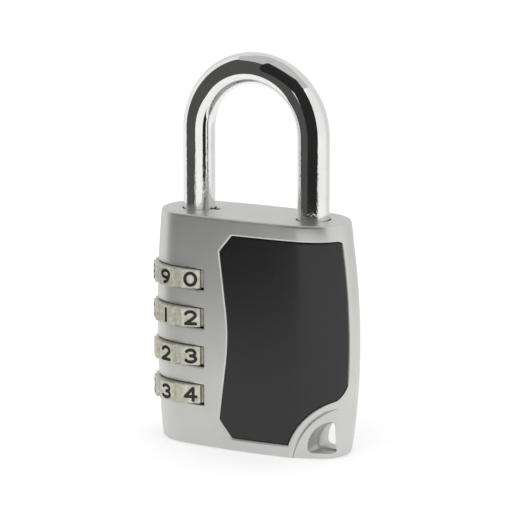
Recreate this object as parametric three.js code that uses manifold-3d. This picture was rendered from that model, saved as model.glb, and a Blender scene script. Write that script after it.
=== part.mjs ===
// Four-dial combination padlock, in millimetres: +Z up, front face towards -Y, the dials at the -X end.
// The origin is the middle of the flat base. The heel leg of the shackle carries a lugged spindle that
// runs down through four code sleeves. Each sleeve turns inside its number dial, and the lugs lift past
// the sleeves only when every gate slot points the same way.
import * as THREE from 'three';
import { mergeVertices } from 'three/addons/utils/BufferGeometryUtils.js';
import { ParametricGeometry } from 'three/addons/geometries/ParametricGeometry.js';
import Module from 'manifold-3d';

// ---- Driving dimensions ----

const GAP = 0.3; // clearance between neighbouring pieces
const FAR = 20; // how far a cutting tool reaches past the body

const BODY_HEIGHT = 59;
const LEG_X = 16.25; // half the distance between the shackle's leg centres
const HALF_THICKNESS = 9.7; // of the body, at the legs
const FACE_BOW = 0.85; // how much the front and rear faces swell at the middle
const END_TURN = THREE.MathUtils.degToRad(8.5); // slope at which a bowed face runs into a round end
const LEFT_END = { halfWidth: 27.5, widestZ: 30, barrelRadius: 255 };
const RIGHT_END = { halfWidth: 28.75, widestZ: 28, barrelRadius: 158 };
const BASE_FILLET = 0.9;
const TOP_FILLET = 0.7;

const SHACKLE_RADIUS = 4;
const ARCH_Z = BODY_HEIGHT + 20.2; // centre of the shackle's arch
const TOE_DEPTH = 8; // length of the toe leg inside the body
const TOE_END_Z = BODY_HEIGHT - TOE_DEPTH;
const HEEL_END_Z = 49.3;
const SHACKLE_STEPS = 30; // one down each leg, the rest round the arch
const LEG_HOLE_RADIUS = 4.35;

const DIAL_COUNT = 4;
const DIAL_PITCH = 9.85;
const FIRST_DIAL_Z = 13.25;
const DIAL_HEIGHT = 4.8;
const DIAL_FLAT_RADIUS = 11.5; // from the axis to a number flat
const DIAL_FLAT_WIDTH = 5.24;
const DIAL_GROOVE_RADIUS = 10.95; // at the bottom of the groove between two flats
const NUMBERS = 10;
const FIRST_FLAT_ANGLE = THREE.MathUtils.degToRad(18);
const WINDOW_RADIUS = 12.45;
const WINDOW_HEIGHT = DIAL_HEIGHT + 0.5;

const SPINDLE_RADIUS = 2.4;
const LUG = { reach: 5.5, width: 1.2, height: 2.4, slack: 0.4 };
const GATE_WIDTH = LUG.width + 2 * GAP;
const SLEEVE = { inner: 5.8, outer: 6.6, foot: -4.2, height: DIAL_PITCH - GAP, flange: 1.4 };
const SLEEVE_BORE = SLEEVE.outer + GAP;
const TOOTH = { reach: 7.3, width: 1.6, height: 3 };
const KEYWAY = { reach: TOOTH.reach + GAP, width: TOOTH.width + 2 * GAP };

const PANEL = { top: 54.8, bottom: 3.25, edgeY: 2.8, pocket: 1.6, sunk: 0.15 };
const PANEL_ARC_END_X = 25.87;
const PEG = { radius: 0.9, length: 2.2, places: [[3, 51], [21, 36], [6, 5.9]] };

const EYELET = { x: 32, z: -2.5 }; // the centre of the arcs around the eyelet
// Each face has a recess around the eyelet, with a flat floor: its depth at this x, and its slope. The
// rear one is larger and deeper, which gives a cord room behind the eyelet.
const FRONT_RECESS = { side: -1, panelArc: 18.5, arc: 16.5, x: 17, depth: 8.55, slope: 0.4 };
const REAR_RECESS = { side: 1, panelArc: 21, arc: 19, x: 17, depth: 3.6, slope: 0.05 };
const EYELET_HOLE = { x: 25.7, z: 2.8, radius: 6.7, right: 25.35, bottom: 1.4, round: 0.8 };
const EYELET_WEB = { front: -2.2, rear: 0.4, inset: 0.4 };

const DETENT_ANGLE = -FIRST_FLAT_ANGLE; // the balls press towards a groove, just in front of the +X side
const BALL_RADIUS = 1.4;
const BALL_CENTRE = 13.25; // from the dial's axis, clear of the dial's corners
const BALL_BORE = 1.55;
const CORE_WALL = 19; // from the dial's axis to the wall where the detent bores end
const CORE = { length: 13, front: -9, rear: 7, bottom: 8.5, top: 47 };
const STRIP = { start: CORE_WALL + GAP, thickness: 0.8, halfWidth: 2.4, bottom: 9.5, top: 46.6 };
const SCREW = { shank: 0.8, head: 1.7, headHeight: 0.8, depth: 3.7 };

const CLIP = { z: 7.95, thickness: 0.6, outer: 4, inner: 1.75 };
const SPINDLE_FOOT = 7.3;
const TENON = { radius: 2, start: 48.9, end: 57.2 };
const CROSS_PIN = { radius: 0.75, halfLength: 3.7, z: 53.5 };
const PLUG = { flange: 7.4, flangeTop: 1.3, top: 4.4, sunk: 0.3, pocket: 2.7, pocketFloor: 1.9 };
const PLUG_PIN = { radius: 0.8, z: 2.9, start: 3.9, end: 9.3 };

const ROUND_SIDES = 32;
const SMALL_SIDES = 16;

const dialZ = (number) => FIRST_DIAL_Z + number * DIAL_PITCH;
const flangeFoot = SLEEVE.foot + SLEEVE.height - SLEEVE.flange;

// ---- Solids ----

const wasm = await Module();
wasm.setup();

// A closed geometry as a solid for cutting and joining, without its collapsed triangles.
function solid(geometry) {
  const bare = geometry.clone();
  bare.deleteAttribute('normal');
  bare.deleteAttribute('uv');
  const merged = mergeVertices(bare, 1e-4);
  const corners = merged.index.array;
  const triVerts = [];
  for (let i = 0; i < corners.length; i += 3) {
    const [a, b, c] = corners.slice(i, i + 3);
    if (a !== b && b !== c && c !== a) triVerts.push(a, b, c);
  }
  return new wasm.Manifold(new wasm.Mesh({
    numProp: 3,
    vertProperties: Float32Array.from(merged.attributes.position.array),
    triVerts: Uint32Array.from(triVerts),
  }));
}

// A solid back as a geometry.
function geometryOf(body) {
  const mesh = body.getMesh();
  const geometry = new THREE.BufferGeometry();
  geometry.setAttribute('position', new THREE.BufferAttribute(mesh.vertProperties, 3));
  geometry.setIndex(new THREE.BufferAttribute(mesh.triVerts, 1));
  return geometry;
}

function cut(base, tools) {
  return tools.reduce((rest, tool) => rest.subtract(solid(tool)), base);
}

function join(pieces) {
  return pieces.map(solid).reduce((whole, piece) => whole.add(piece));
}

// ---- Simple shapes ----

function rod(radius, bottom, top, sides = ROUND_SIDES) {
  const geometry = new THREE.CylinderGeometry(radius, radius, top - bottom, sides);
  return geometry.rotateX(Math.PI / 2).translate(0, 0, (bottom + top) / 2);
}

function block(xRange, yRange, zRange) {
  const [size, middle] = [xRange, yRange, zRange].reduce(
    ([sizes, middles], [low, high]) => [[...sizes, high - low], [...middles, (low + high) / 2]], [[], []]);
  return new THREE.BoxGeometry(...size).translate(...middle);
}

// A rod that runs along Y from one depth to another, at (x, z).
function crossRod(radius, yRange, x, z, sides = SMALL_SIDES) {
  return rod(radius, yRange[0], yRange[1], sides).rotateX(-Math.PI / 2).translate(x, 0, z);
}

// An outline drawn in X and Z, extruded along Y.
function prism(outline, yRange, curveSegments = 10) {
  const depth = yRange[1] - yRange[0];
  const geometry = new THREE.ExtrudeGeometry(outline, { depth, bevelEnabled: false, curveSegments });
  return geometry.rotateX(Math.PI / 2).translate(0, yRange[1], 0);
}

const onHeel = (geometry) => geometry.translate(-LEG_X, 0, 0);

// From the detents' own frame, with X pointing away from the dials' axis, to the body's frame.
const onDetent = (geometry) => onHeel(geometry.rotateZ(DETENT_ANGLE));

class Helix extends THREE.Curve {
  constructor(radius, turns, bottom, top) {
    super();
    Object.assign(this, { radius, turns, bottom, top });
  }

  getPoint(t, target = new THREE.Vector3()) {
    const angle = 2 * Math.PI * this.turns * t;
    const height = THREE.MathUtils.lerp(this.bottom, this.top, t);
    return target.set(this.radius * Math.cos(angle), this.radius * Math.sin(angle), height);
  }
}

function coilSpring({ radius, wire, turns, bottom, top, stepsPerTurn }) {
  const section = new THREE.Shape().absarc(0, 0, wire, 0, 2 * Math.PI);
  const path = new Helix(radius, turns, bottom + wire, top - wire);
  const steps = Math.round(turns * stepsPerTurn);
  return new THREE.ExtrudeGeometry(section, { extrudePath: path, steps, curveSegments: 3 });
}

// ---- The body's outer surface ----

const FACE_STEPS = 8;
const END_STEPS = 12;
const RING = 2 * (FACE_STEPS + END_STEPS);
const FILLET_STEPS = 3;
const BARREL_STEPS = 6;

function barrelHalfWidth(end, z) {
  return end.halfWidth - (z - end.widestZ) ** 2 / (2 * end.barrelRadius);
}

function faceBow(x) {
  return FACE_BOW * (1 - (x / LEG_X) ** 2);
}

// One point of the level outline at height z, counted anticlockwise from the front left.
function outlinePoint(index, z, faceInset, endInset) {
  const half = HALF_THICKNESS - faceInset;
  const turned = index % RING;
  const rear = turned >= RING / 2;
  const step = turned % (RING / 2);
  const side = rear ? -1 : 1;
  if (step < FACE_STEPS) {
    const x = LEG_X * (2 * step / FACE_STEPS - 1);
    return [side * x, -side * (half + faceBow(x))];
  }
  const reach = barrelHalfWidth(rear ? LEFT_END : RIGHT_END, z) - endInset - LEG_X;
  const angle = THREE.MathUtils.lerp(END_TURN, Math.PI - END_TURN, (step - FACE_STEPS) / END_STEPS);
  const out = (Math.sin(angle) - Math.sin(END_TURN)) / (1 - Math.sin(END_TURN));
  return [side * (LEG_X + reach * out), -side * half * Math.cos(angle) / Math.cos(END_TURN)];
}

// The levels of the body from the base's middle to the top's middle, with the rounding at both edges.
function bodyLevels() {
  const fillet = (radius, step) => {
    const angle = Math.PI / 2 * step / FILLET_STEPS;
    return { rise: radius * (1 - Math.cos(angle)), inset: radius * (1 - Math.sin(angle)) };
  };
  const levels = [];
  for (let step = 0; step <= FILLET_STEPS; step++) {
    const { rise, inset } = fillet(BASE_FILLET, step);
    levels.push({ z: rise, inset });
  }
  const wallTop = BODY_HEIGHT - TOP_FILLET;
  for (let step = 1; step < BARREL_STEPS; step++) {
    levels.push({ z: THREE.MathUtils.lerp(BASE_FILLET, wallTop, step / BARREL_STEPS), inset: 0 });
  }
  for (let step = FILLET_STEPS; step >= 0; step--) {
    const { rise, inset } = fillet(TOP_FILLET, step);
    levels.push({ z: BODY_HEIGHT - rise, inset });
  }
  return levels;
}

// The whole body as a solid, drawn in by an inset on its faces and another at its round ends.
function bodySolid(faceInset = 0, endInset = faceInset) {
  const levels = bodyLevels();
  const rows = levels.length + 1;
  const place = (u, v, target) => {
    const row = Math.round(v * rows);
    if (row === 0 || row === rows) {
      target.set(0, 0, row === 0 ? 0 : BODY_HEIGHT);
      return;
    }
    const { z, inset } = levels[row - 1];
    const [x, y] = outlinePoint(Math.round(u * RING), z, faceInset + inset, endInset + inset);
    target.set(x, y, z);
  };
  return solid(new ParametricGeometry(place, RING, rows));
}

// Distance from the middle plane to the front or rear face at (x, z).
function faceDepth(x, z) {
  if (Math.abs(x) <= LEG_X) return HALF_THICKNESS + faceBow(x);
  const reach = barrelHalfWidth(x < 0 ? LEFT_END : RIGHT_END, z) - LEG_X;
  const sine = THREE.MathUtils.lerp(Math.sin(END_TURN), 1, (Math.abs(x) - LEG_X) / reach);
  return HALF_THICKNESS * Math.sqrt(1 - sine ** 2) / Math.cos(END_TURN);
}

// ---- Outlines on the front and rear faces ----

// The cover panel: chamfered left corners, a waisted left edge and an arc around the eyelet.
function panelOutline(gap, recess) {
  const { top, bottom } = PANEL;
  const middle = (top + bottom) / 2;
  const radius = recess.panelArc + gap;
  const arcFoot = Math.asin((bottom + gap - EYELET.z) / radius);
  const arcHead = Math.acos((EYELET.x - PANEL_ARC_END_X) / radius);
  const arcHeadZ = EYELET.z + radius * Math.sin(arcHead);
  const outline = new THREE.Shape();
  outline.moveTo(-1.1 + gap / 2, top - gap);
  outline.lineTo(-4.7 + gap, 50.5 - gap / 2);
  outline.lineTo(-2.85 + gap, middle + 7);
  outline.quadraticCurveTo(-1.95 + gap, middle, -2.85 + gap, middle - 7);
  outline.lineTo(-4.7 + gap, 7.6 + gap / 2);
  outline.lineTo(-1.1 + gap / 2, bottom + gap);
  outline.absarc(EYELET.x, EYELET.z, radius, Math.PI - arcFoot, Math.PI - arcHead, true);
  outline.quadraticCurveTo(27.5 - gap, arcHeadZ + 1.5, 27.96 - gap / 2, arcHeadZ + 5);
  outline.lineTo(31, arcHeadZ + 6);
  outline.lineTo(31, 50);
  outline.lineTo(26.2 - gap / 2, 53.2);
  outline.quadraticCurveTo(26.05 - gap / 2, top - gap, 25.2 - gap, top - gap);
  outline.closePath();
  return outline;
}

// The eyelet's hole: close to a quarter disc, with a flat bottom and a flat right side.
function eyeletOutline(inset) {
  const { x, z, right, round } = EYELET_HOLE;
  const bottom = EYELET_HOLE.bottom + inset;
  const radius = EYELET_HOLE.radius - inset;
  const headAngle = Math.acos((right - x) / radius);
  const bend = round / radius;
  const outline = new THREE.Shape();
  outline.moveTo(x - radius + 2 * round, bottom);
  outline.lineTo(right - round, bottom);
  outline.quadraticCurveTo(right, bottom, right, bottom + round);
  outline.lineTo(right, z + radius - 2 * round);
  outline.quadraticCurveTo(right, z + radius - round / 2,
    x + radius * Math.cos(headAngle + bend), z + radius * Math.sin(headAngle + bend));
  outline.absarc(x, z, radius, headAngle + bend, Math.PI, false);
  outline.quadraticCurveTo(x - radius, bottom, x - radius + 2 * round, bottom);
  return outline;
}

function recessOutline({ arc }) {
  const outline = new THREE.Shape();
  outline.moveTo(EYELET.x, EYELET.z + arc);
  outline.absarc(EYELET.x, EYELET.z, arc, Math.PI / 2, Math.PI, false);
  outline.lineTo(EYELET.x, EYELET.z);
  outline.closePath();
  return outline;
}

// The span in Y of a feature on one face: side is -1 for the front and 1 for the rear.
function facing(side, near, far = FAR) {
  return side < 0 ? [-far, -near] : [near, far];
}

// ---- Housing pieces ----

function windowTools() {
  const tools = [];
  for (let number = 0; number < DIAL_COUNT; number++) {
    const middle = dialZ(number);
    tools.push(onHeel(rod(WINDOW_RADIUS, middle - WINDOW_HEIGHT / 2, middle + WINDOW_HEIGHT / 2, 48)));
    const ballBore = rod(BALL_BORE, BALL_CENTRE - BALL_RADIUS, CORE_WALL + 1, SMALL_SIDES);
    tools.push(onDetent(ballBore.rotateY(Math.PI / 2).translate(0, 0, middle)));
  }
  return tools;
}

function heelTools() {
  const sleeveTop = dialZ(DIAL_COUNT - 1) + SLEEVE.foot + DIAL_PITCH;
  return [
    rod(SLEEVE_BORE, -1, sleeveTop),
    block([0, KEYWAY.reach], [-KEYWAY.width / 2, KEYWAY.width / 2], [-1, dialZ(DIAL_COUNT - 1)]),
    rod(PLUG.flange + GAP, -1, PLUG.flangeTop + GAP),
    rod(LEG_HOLE_RADIUS, sleeveTop - 1, BODY_HEIGHT + 1),
    block([0, LUG.reach + 0.4], [-GATE_WIDTH / 2, GATE_WIDTH / 2], [sleeveTop - 1, BODY_HEIGHT + 1]),
    crossRod(PLUG_PIN.radius + GAP, [PLUG_PIN.start, FAR], 0, PLUG_PIN.z),
  ].map(onHeel);
}

function screwHeights() {
  return [(dialZ(0) + dialZ(1)) / 2, (dialZ(2) + dialZ(3)) / 2];
}

function coreTools() {
  const { length, front, rear, bottom, top } = CORE;
  const tools = [onDetent(block([CORE_WALL, CORE_WALL + length], [front, rear], [bottom, top]))];
  for (const z of screwHeights()) {
    const hole = rod(SCREW.shank + GAP, CORE_WALL - SCREW.depth - GAP, CORE_WALL + 1, SMALL_SIDES);
    tools.push(onDetent(hole.rotateY(Math.PI / 2).translate(0, 0, z)));
  }
  return tools;
}

// What is cut from a face around the eyelet: the recess's outline, down to its sloping floor.
function recessTool(recess) {
  const { side, x, depth, slope } = recess;
  const left = x - recess.arc;
  const right = EYELET.x + 1;
  const floorY = (at) => side * (depth - slope * (at - x));
  const plan = new THREE.Shape();
  plan.moveTo(left, floorY(left));
  plan.lineTo(right, floorY(right));
  plan.lineTo(right, side * FAR);
  plan.lineTo(left, side * FAR);
  plan.closePath();
  const above = new THREE.ExtrudeGeometry(plan, { depth: BODY_HEIGHT, bevelEnabled: false });
  return solid(prism(recessOutline(recess), [-FAR, FAR], 12)).intersect(solid(above.translate(0, 0, -1)));
}

function bodyCasting() {
  const pocketFloor = bodySolid(PANEL.pocket);
  let casting = bodySolid();
  for (const recess of [FRONT_RECESS, REAR_RECESS]) {
    const { side } = recess;
    const pocket = solid(prism(panelOutline(0, recess), facing(side, PANEL.edgeY))).subtract(pocketFloor);
    casting = casting.subtract(pocket).subtract(recessTool(recess));
    for (const [x, z] of PEG.places) {
      const floor = faceDepth(x, z) - PANEL.pocket;
      const hole = crossRod(PEG.radius + GAP, facing(side, floor - PEG.length, floor + 1), x, z);
      casting = cut(casting, [hole]);
    }
  }
  const eyelet = [
    prism(eyeletOutline(0), [-FAR, EYELET_WEB.front]),
    prism(eyeletOutline(EYELET_WEB.inset), [-FAR, FAR]),
    prism(eyeletOutline(0), [EYELET_WEB.rear, FAR]),
  ];
  const toeHole = rod(LEG_HOLE_RADIUS, TOE_END_Z - GAP, BODY_HEIGHT + 1).translate(LEG_X, 0, 0);
  return geometryOf(cut(casting, [...eyelet, toeHole, ...windowTools(), ...heelTools(), ...coreTools()]));
}

// A thin curved cover in its pocket, with pegs into the casting.
function coverPanel(recess) {
  const { side } = recess;
  const plate = solid(prism(panelOutline(GAP, recess), facing(side, PANEL.edgeY + GAP)))
    .intersect(bodySolid(PANEL.sunk))
    .subtract(bodySolid(PANEL.pocket - GAP));
  const pegs = PEG.places.map(([x, z]) => {
    const back = faceDepth(x, z) - PANEL.pocket + GAP;
    return solid(crossRod(PEG.radius, facing(side, back - PEG.length, back + 0.5), x, z));
  });
  return geometryOf(pegs.reduce((panel, peg) => panel.add(peg), plate));
}

function bottomPlug() {
  const { flange, flangeTop, top, sunk, pocket, pocketFloor } = PLUG;
  const body = join([rod(flange, sunk, flangeTop), rod(SLEEVE.outer, sunk + 0.5, top)]);
  const pinHole = crossRod(PLUG_PIN.radius + GAP, [PLUG_PIN.start - GAP, FAR], 0, PLUG_PIN.z);
  return geometryOf(cut(body, [rod(pocket, pocketFloor, top + 1), pinHole]));
}

function springStrip() {
  const { start, thickness, halfWidth, bottom, top } = STRIP;
  const plate = solid(block([start, start + thickness], [-halfWidth, halfWidth], [bottom, top]));
  const holes = screwHeights().map((z) => {
    const hole = rod(SCREW.shank + GAP, start - 1, start + thickness + 1, SMALL_SIDES);
    return hole.rotateY(Math.PI / 2).translate(0, 0, z);
  });
  return geometryOf(cut(plate, holes));
}

function stripScrew() {
  const seat = STRIP.start + STRIP.thickness + GAP;
  const screw = join([
    rod(SCREW.shank, CORE_WALL - SCREW.depth, seat + 0.3, SMALL_SIDES),
    rod(SCREW.head, seat, seat + SCREW.headHeight, SMALL_SIDES),
  ]);
  const slot = block([-SCREW.head - 1, SCREW.head + 1], [-0.25, 0.25], [seat + 0.4, seat + 2]);
  return geometryOf(cut(screw, [slot])).rotateY(Math.PI / 2);
}

// ---- Shackle and spindle ----

// Up the heel leg in one step, over the arch, and down the toe leg in one step.
class ShacklePath extends THREE.Curve {
  getUtoTmapping(u) {
    return u;
  }

  getPoint(t, target = new THREE.Vector3()) {
    const step = t * SHACKLE_STEPS;
    const archSteps = SHACKLE_STEPS - 2;
    const along = THREE.MathUtils.clamp((step - 1) / archSteps, 0, 1);
    const angle = Math.PI * (1 - along);
    target.set(LEG_X * Math.cos(angle), 0, ARCH_Z + LEG_X * Math.sin(angle));
    if (step < 1) target.z = THREE.MathUtils.lerp(HEEL_END_Z, ARCH_Z, step);
    if (step > archSteps + 1) target.z = THREE.MathUtils.lerp(ARCH_Z, TOE_END_Z, step - archSteps - 1);
    return target;
  }
}

function shackle() {
  const section = new THREE.Shape().absarc(0, 0, SHACKLE_RADIUS, 0, 2 * Math.PI);
  const options = { extrudePath: new ShacklePath(), steps: SHACKLE_STEPS, curveSegments: 12 };
  const steel = solid(new THREE.ExtrudeGeometry(section, options));
  const socket = rod(TENON.radius + GAP, HEEL_END_Z - 1, TENON.end + GAP, 20).translate(-LEG_X, 0, 0);
  const pinHole = crossRod(CROSS_PIN.radius + GAP, [-FAR, FAR], -LEG_X, CROSS_PIN.z);
  return geometryOf(cut(steel, [socket, pinHole]));
}

function spindle() {
  const pieces = [
    rod(SPINDLE_RADIUS, SPINDLE_FOOT, TENON.start, 24),
    rod(TENON.radius, TENON.start - 1, TENON.end, 20),
  ];
  for (let number = 0; number < DIAL_COUNT; number++) {
    const top = dialZ(number) + flangeFoot - LUG.slack;
    pieces.push(block([0, LUG.reach], [-LUG.width / 2, LUG.width / 2], [top - LUG.height, top]));
  }
  const ring = join([rod(FAR, CLIP.z - GAP, CLIP.z + CLIP.thickness + GAP, 24)]);
  const groove = ring.subtract(solid(rod(CLIP.inner - GAP, 0, FAR, 24)));
  const pinHole = crossRod(CROSS_PIN.radius + GAP, [-FAR, FAR], 0, CROSS_PIN.z);
  return geometryOf(cut(join(pieces).subtract(groove), [pinHole]));
}

function retainingClip() {
  const mouth = 0.45; // half the angle that the clip leaves open, in radians
  const outline = new THREE.Shape();
  outline.absarc(0, 0, CLIP.outer, mouth, 2 * Math.PI - mouth, false);
  outline.absarc(0, 0, CLIP.inner, 2 * Math.PI - mouth, mouth, true);
  outline.closePath();
  const options = { depth: CLIP.thickness, bevelEnabled: false, curveSegments: 10 };
  return new THREE.ExtrudeGeometry(outline, options).rotateZ(Math.PI / 2).translate(0, 0, CLIP.z);
}

// ---- Dials ----

// Ten number flats with a groove between neighbours, and ten notches inside for the sleeve's tooth.
function numberDial() {
  const outline = new THREE.Shape();
  const hole = new THREE.Path();
  const corner = Math.hypot(DIAL_FLAT_RADIUS, DIAL_FLAT_WIDTH / 2);
  const halfFlat = Math.atan(DIAL_FLAT_WIDTH / 2 / DIAL_FLAT_RADIUS);
  const notchAngle = Math.asin(KEYWAY.width / 2 / SLEEVE_BORE);
  const step = 2 * Math.PI / NUMBERS;
  const polar = (radius, angle) => [radius * Math.cos(angle), radius * Math.sin(angle)];
  const outer = [];
  const inner = [];
  for (let number = 0; number < NUMBERS; number++) {
    const middle = number * step;
    outer.push(polar(corner, middle - halfFlat), polar(corner, middle + halfFlat));
    outer.push(polar(DIAL_GROOVE_RADIUS, middle + step / 2));
    inner.push(polar(SLEEVE_BORE, middle - notchAngle), polar(KEYWAY.reach, middle - notchAngle * 0.9));
    inner.push(polar(KEYWAY.reach, middle + notchAngle * 0.9), polar(SLEEVE_BORE, middle + notchAngle));
    inner.push(polar(SLEEVE_BORE, middle + step / 2));
  }
  outline.setFromPoints(outer.map((point) => new THREE.Vector2(...point)));
  hole.setFromPoints(inner.map((point) => new THREE.Vector2(...point)));
  outline.holes.push(hole);
  const geometry = new THREE.ExtrudeGeometry(outline, { depth: DIAL_HEIGHT, bevelEnabled: false });
  return geometry.translate(0, 0, -DIAL_HEIGHT / 2);
}

// A tube with a slotted flange at its top, and a tooth that carries it round with the dial.
function codeSleeve() {
  const { inner, outer, foot, height, flange } = SLEEVE;
  const head = foot + height;
  const shell = solid(rod(outer, foot, head)).subtract(solid(rod(inner, foot - 1, head - flange)));
  const tooth = block([inner + 0.4, TOOTH.reach], [-TOOTH.width / 2, TOOTH.width / 2],
    [-TOOTH.height / 2, TOOTH.height / 2]);
  const gate = block([0, inner + 0.05], [-GATE_WIDTH / 2, GATE_WIDTH / 2], [head - flange - 1, head + 1]);
  return geometryOf(cut(shell.add(solid(tooth)), [rod(SPINDLE_RADIUS + GAP, 0, FAR, 24), gate]));
}

function detentBall() {
  return new THREE.SphereGeometry(BALL_RADIUS, 12, 8);
}

// ---- Assembly ----

function material(color, roughness, metalness) {
  return new THREE.MeshStandardMaterial({ color, roughness, metalness });
}

const silverPaint = material(0xb9bab6, 0.42, 0.6);
const blackPlastic = material(0x2f2f31, 0.6, 0);
const chrome = material(0xe6e6e4, 0.08, 1);
const nickel = material(0xcfcdbd, 0.35, 0.7);
const zinc = material(0x9b9a96, 0.5, 0.8);
const steel = material(0x8c8e90, 0.35, 1);
const springSteel = material(0x6f7072, 0.3, 1);
const brass = material(0xb08d4a, 0.4, 0.9);

function add(parent, name, geometry, finish) {
  const mesh = new THREE.Mesh(geometry, finish);
  mesh.name = name;
  parent.add(mesh);
  return mesh;
}

const group = new THREE.Group();
add(group, 'body_casting', bodyCasting(), silverPaint);
add(group, 'front_panel', coverPanel(FRONT_RECESS), blackPlastic);
add(group, 'rear_panel', coverPanel(REAR_RECESS), blackPlastic);
add(group, 'shackle', shackle(), chrome);

const heel = new THREE.Group();
heel.position.x = -LEG_X;
group.add(heel);
add(heel, 'spindle', spindle(), steel);
add(heel, 'spindle_pin', crossRod(CROSS_PIN.radius, [-CROSS_PIN.halfLength, CROSS_PIN.halfLength],
  0, CROSS_PIN.z), steel);
add(heel, 'retaining_clip', retainingClip(), springSteel);
add(heel, 'bottom_plug', bottomPlug(), zinc);
add(heel, 'plug_pin', crossRod(PLUG_PIN.radius, [PLUG_PIN.start, PLUG_PIN.end], 0, PLUG_PIN.z), steel);
add(heel, 'lift_spring', coilSpring({
  radius: 1.9, wire: 0.25, turns: 5, bottom: PLUG.pocketFloor + 0.1, top: SPINDLE_FOOT - 0.1,
  stepsPerTurn: 10,
}), springSteel);
add(heel, 'reset_spring', coilSpring({
  radius: 4.8, wire: 0.35, turns: 3, bottom: PLUG.top + 0.1, top: dialZ(0) + SLEEVE.foot - 0.1,
  stepsPerTurn: 16,
}), springSteel);

const detents = new THREE.Group();
detents.rotation.z = DETENT_ANGLE;
heel.add(detents);
add(detents, 'spring_strip', springStrip(), springSteel);
screwHeights().forEach((z, order) => {
  add(detents, `strip_screw_${order + 1}`, stripScrew(), steel).position.z = z;
});

for (let number = 0; number < DIAL_COUNT; number++) {
  const place = number + 1;
  const dial = add(heel, `number_dial_${place}`, numberDial(), nickel);
  dial.position.z = dialZ(number);
  dial.rotation.z = FIRST_FLAT_ANGLE - Math.PI / 2;
  add(heel, `code_sleeve_${place}`, codeSleeve(), brass).position.z = dialZ(number);
  add(detents, `detent_ball_${place}`, detentBall(), steel).position.set(BALL_CENTRE, 0, dialZ(number));
  const spring = coilSpring({
    radius: 1.05, wire: 0.17, turns: 5, bottom: BALL_CENTRE + BALL_RADIUS + 0.05, top: STRIP.start - 0.1,
    stepsPerTurn: 8,
  });
  const detentSpring = add(detents, `detent_spring_${place}`, spring.rotateY(Math.PI / 2), springSteel);
  detentSpring.position.z = dialZ(number);
}

export default group;
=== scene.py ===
"""The looks of a four-dial combination padlock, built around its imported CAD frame.

Shapes are worked out in millimetres in the part's own frame, with +Z up and the front face towards -Y,
and every mesh is brought to metres when its piece is finished.
"""
import math

import bmesh
import bpy
from mathutils import Matrix, Vector


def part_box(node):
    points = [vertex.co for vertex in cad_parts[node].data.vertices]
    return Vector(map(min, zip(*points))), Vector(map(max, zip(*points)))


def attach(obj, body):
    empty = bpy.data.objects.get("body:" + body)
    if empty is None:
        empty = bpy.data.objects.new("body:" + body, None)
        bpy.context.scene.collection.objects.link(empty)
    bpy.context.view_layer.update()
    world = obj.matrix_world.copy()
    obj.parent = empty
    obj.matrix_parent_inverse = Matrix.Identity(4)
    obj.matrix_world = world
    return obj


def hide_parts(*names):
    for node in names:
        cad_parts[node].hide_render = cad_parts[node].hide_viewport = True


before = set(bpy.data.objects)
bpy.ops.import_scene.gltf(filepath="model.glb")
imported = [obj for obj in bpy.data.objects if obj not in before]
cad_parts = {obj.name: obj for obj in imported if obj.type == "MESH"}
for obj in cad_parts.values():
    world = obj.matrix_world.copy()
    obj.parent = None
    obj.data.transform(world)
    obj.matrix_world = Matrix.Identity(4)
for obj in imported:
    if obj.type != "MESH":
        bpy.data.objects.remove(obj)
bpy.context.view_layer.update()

# ---- Sizes, in millimetres ----

MM = 0.001


def node_box(name):
    """The lowest and highest corners of a CAD node."""
    return [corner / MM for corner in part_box(name)]


BODY_HEIGHT = node_box("body_casting")[1].z
SHACKLE_LOW, SHACKLE_HIGH = node_box("shackle")
SHACKLE_RADIUS = round(SHACKLE_HIGH.y, 2)
LEG_X = round(SHACKLE_HIGH.x - SHACKLE_RADIUS, 2)
ARCH_Z = SHACKLE_HIGH.z - SHACKLE_RADIUS - LEG_X
HEEL_END_Z = SHACKLE_LOW.z
TOE_DEPTH = 8.0
TOE_END_Z = BODY_HEIGHT - TOE_DEPTH
LEG_HOLE_RADIUS = SHACKLE_RADIUS + 0.35
SHACKLE_BEVEL = 0.6  # at the ends of its legs
SOCKET_RADIUS = 2.3  # for the spindle, in the heel leg
SOCKET_DEPTH = 8.2
CROSS_PIN_UP = 4.2  # from the heel leg's end to its cross pin
CROSS_PIN_HOLE = 1.05
DIALS = (1, 2, 3, 4)
DIAL_BOXES = {number: node_box(f"number_dial_{number}") for number in DIALS}
DIAL_Z = {number: (low.z + high.z) / 2 for number, (low, high) in DIAL_BOXES.items()}
DIAL_HEIGHT = DIAL_BOXES[1][1].z - DIAL_BOXES[1][0].z
DIAL_PITCH = DIAL_Z[2] - DIAL_Z[1]

HALF_THICKNESS = 9.7
FACE_BOW = 0.85
END_TURN = math.radians(8.5)
LEFT_END = (27.5, 30.0, 255.0)  # half width at the widest level, that level, and the barrel's radius
RIGHT_END = (28.75, 28.0, 158.0)
BASE_FILLET = 0.9
TOP_FILLET = 0.7

PANEL_TOP = 54.8
PANEL_BOTTOM = 3.25
PANEL_EDGE_Y = 2.8  # where the panel ends at the round end
POCKET_DEPTH = 1.6
PANEL_SUNK = 0.15
PANEL_ARC_END_X = 25.87
PANEL_GAP = 0.14
PANEL_THICKNESS = 1.1
PEGS = ((3.0, 51.0), (21.0, 36.0), (6.0, 5.9))
PEG_RADIUS = 0.9
PEG_LENGTH = 2.2

EYELET_X = 32.0  # the centre of the arcs around the eyelet
EYELET_Z = -2.5
HOLE_X = 25.7
HOLE_Z = 2.8
HOLE_RADIUS = 6.7
HOLE_RIGHT = 25.35
HOLE_BOTTOM = 1.4
HOLE_ROUND = 0.8
WEB_FRONT = -2.2
WEB_REAR = 0.4
WEB_INSET = 0.4
RECESS_X = 17.0  # where the depth of a recess's floor is given

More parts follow.
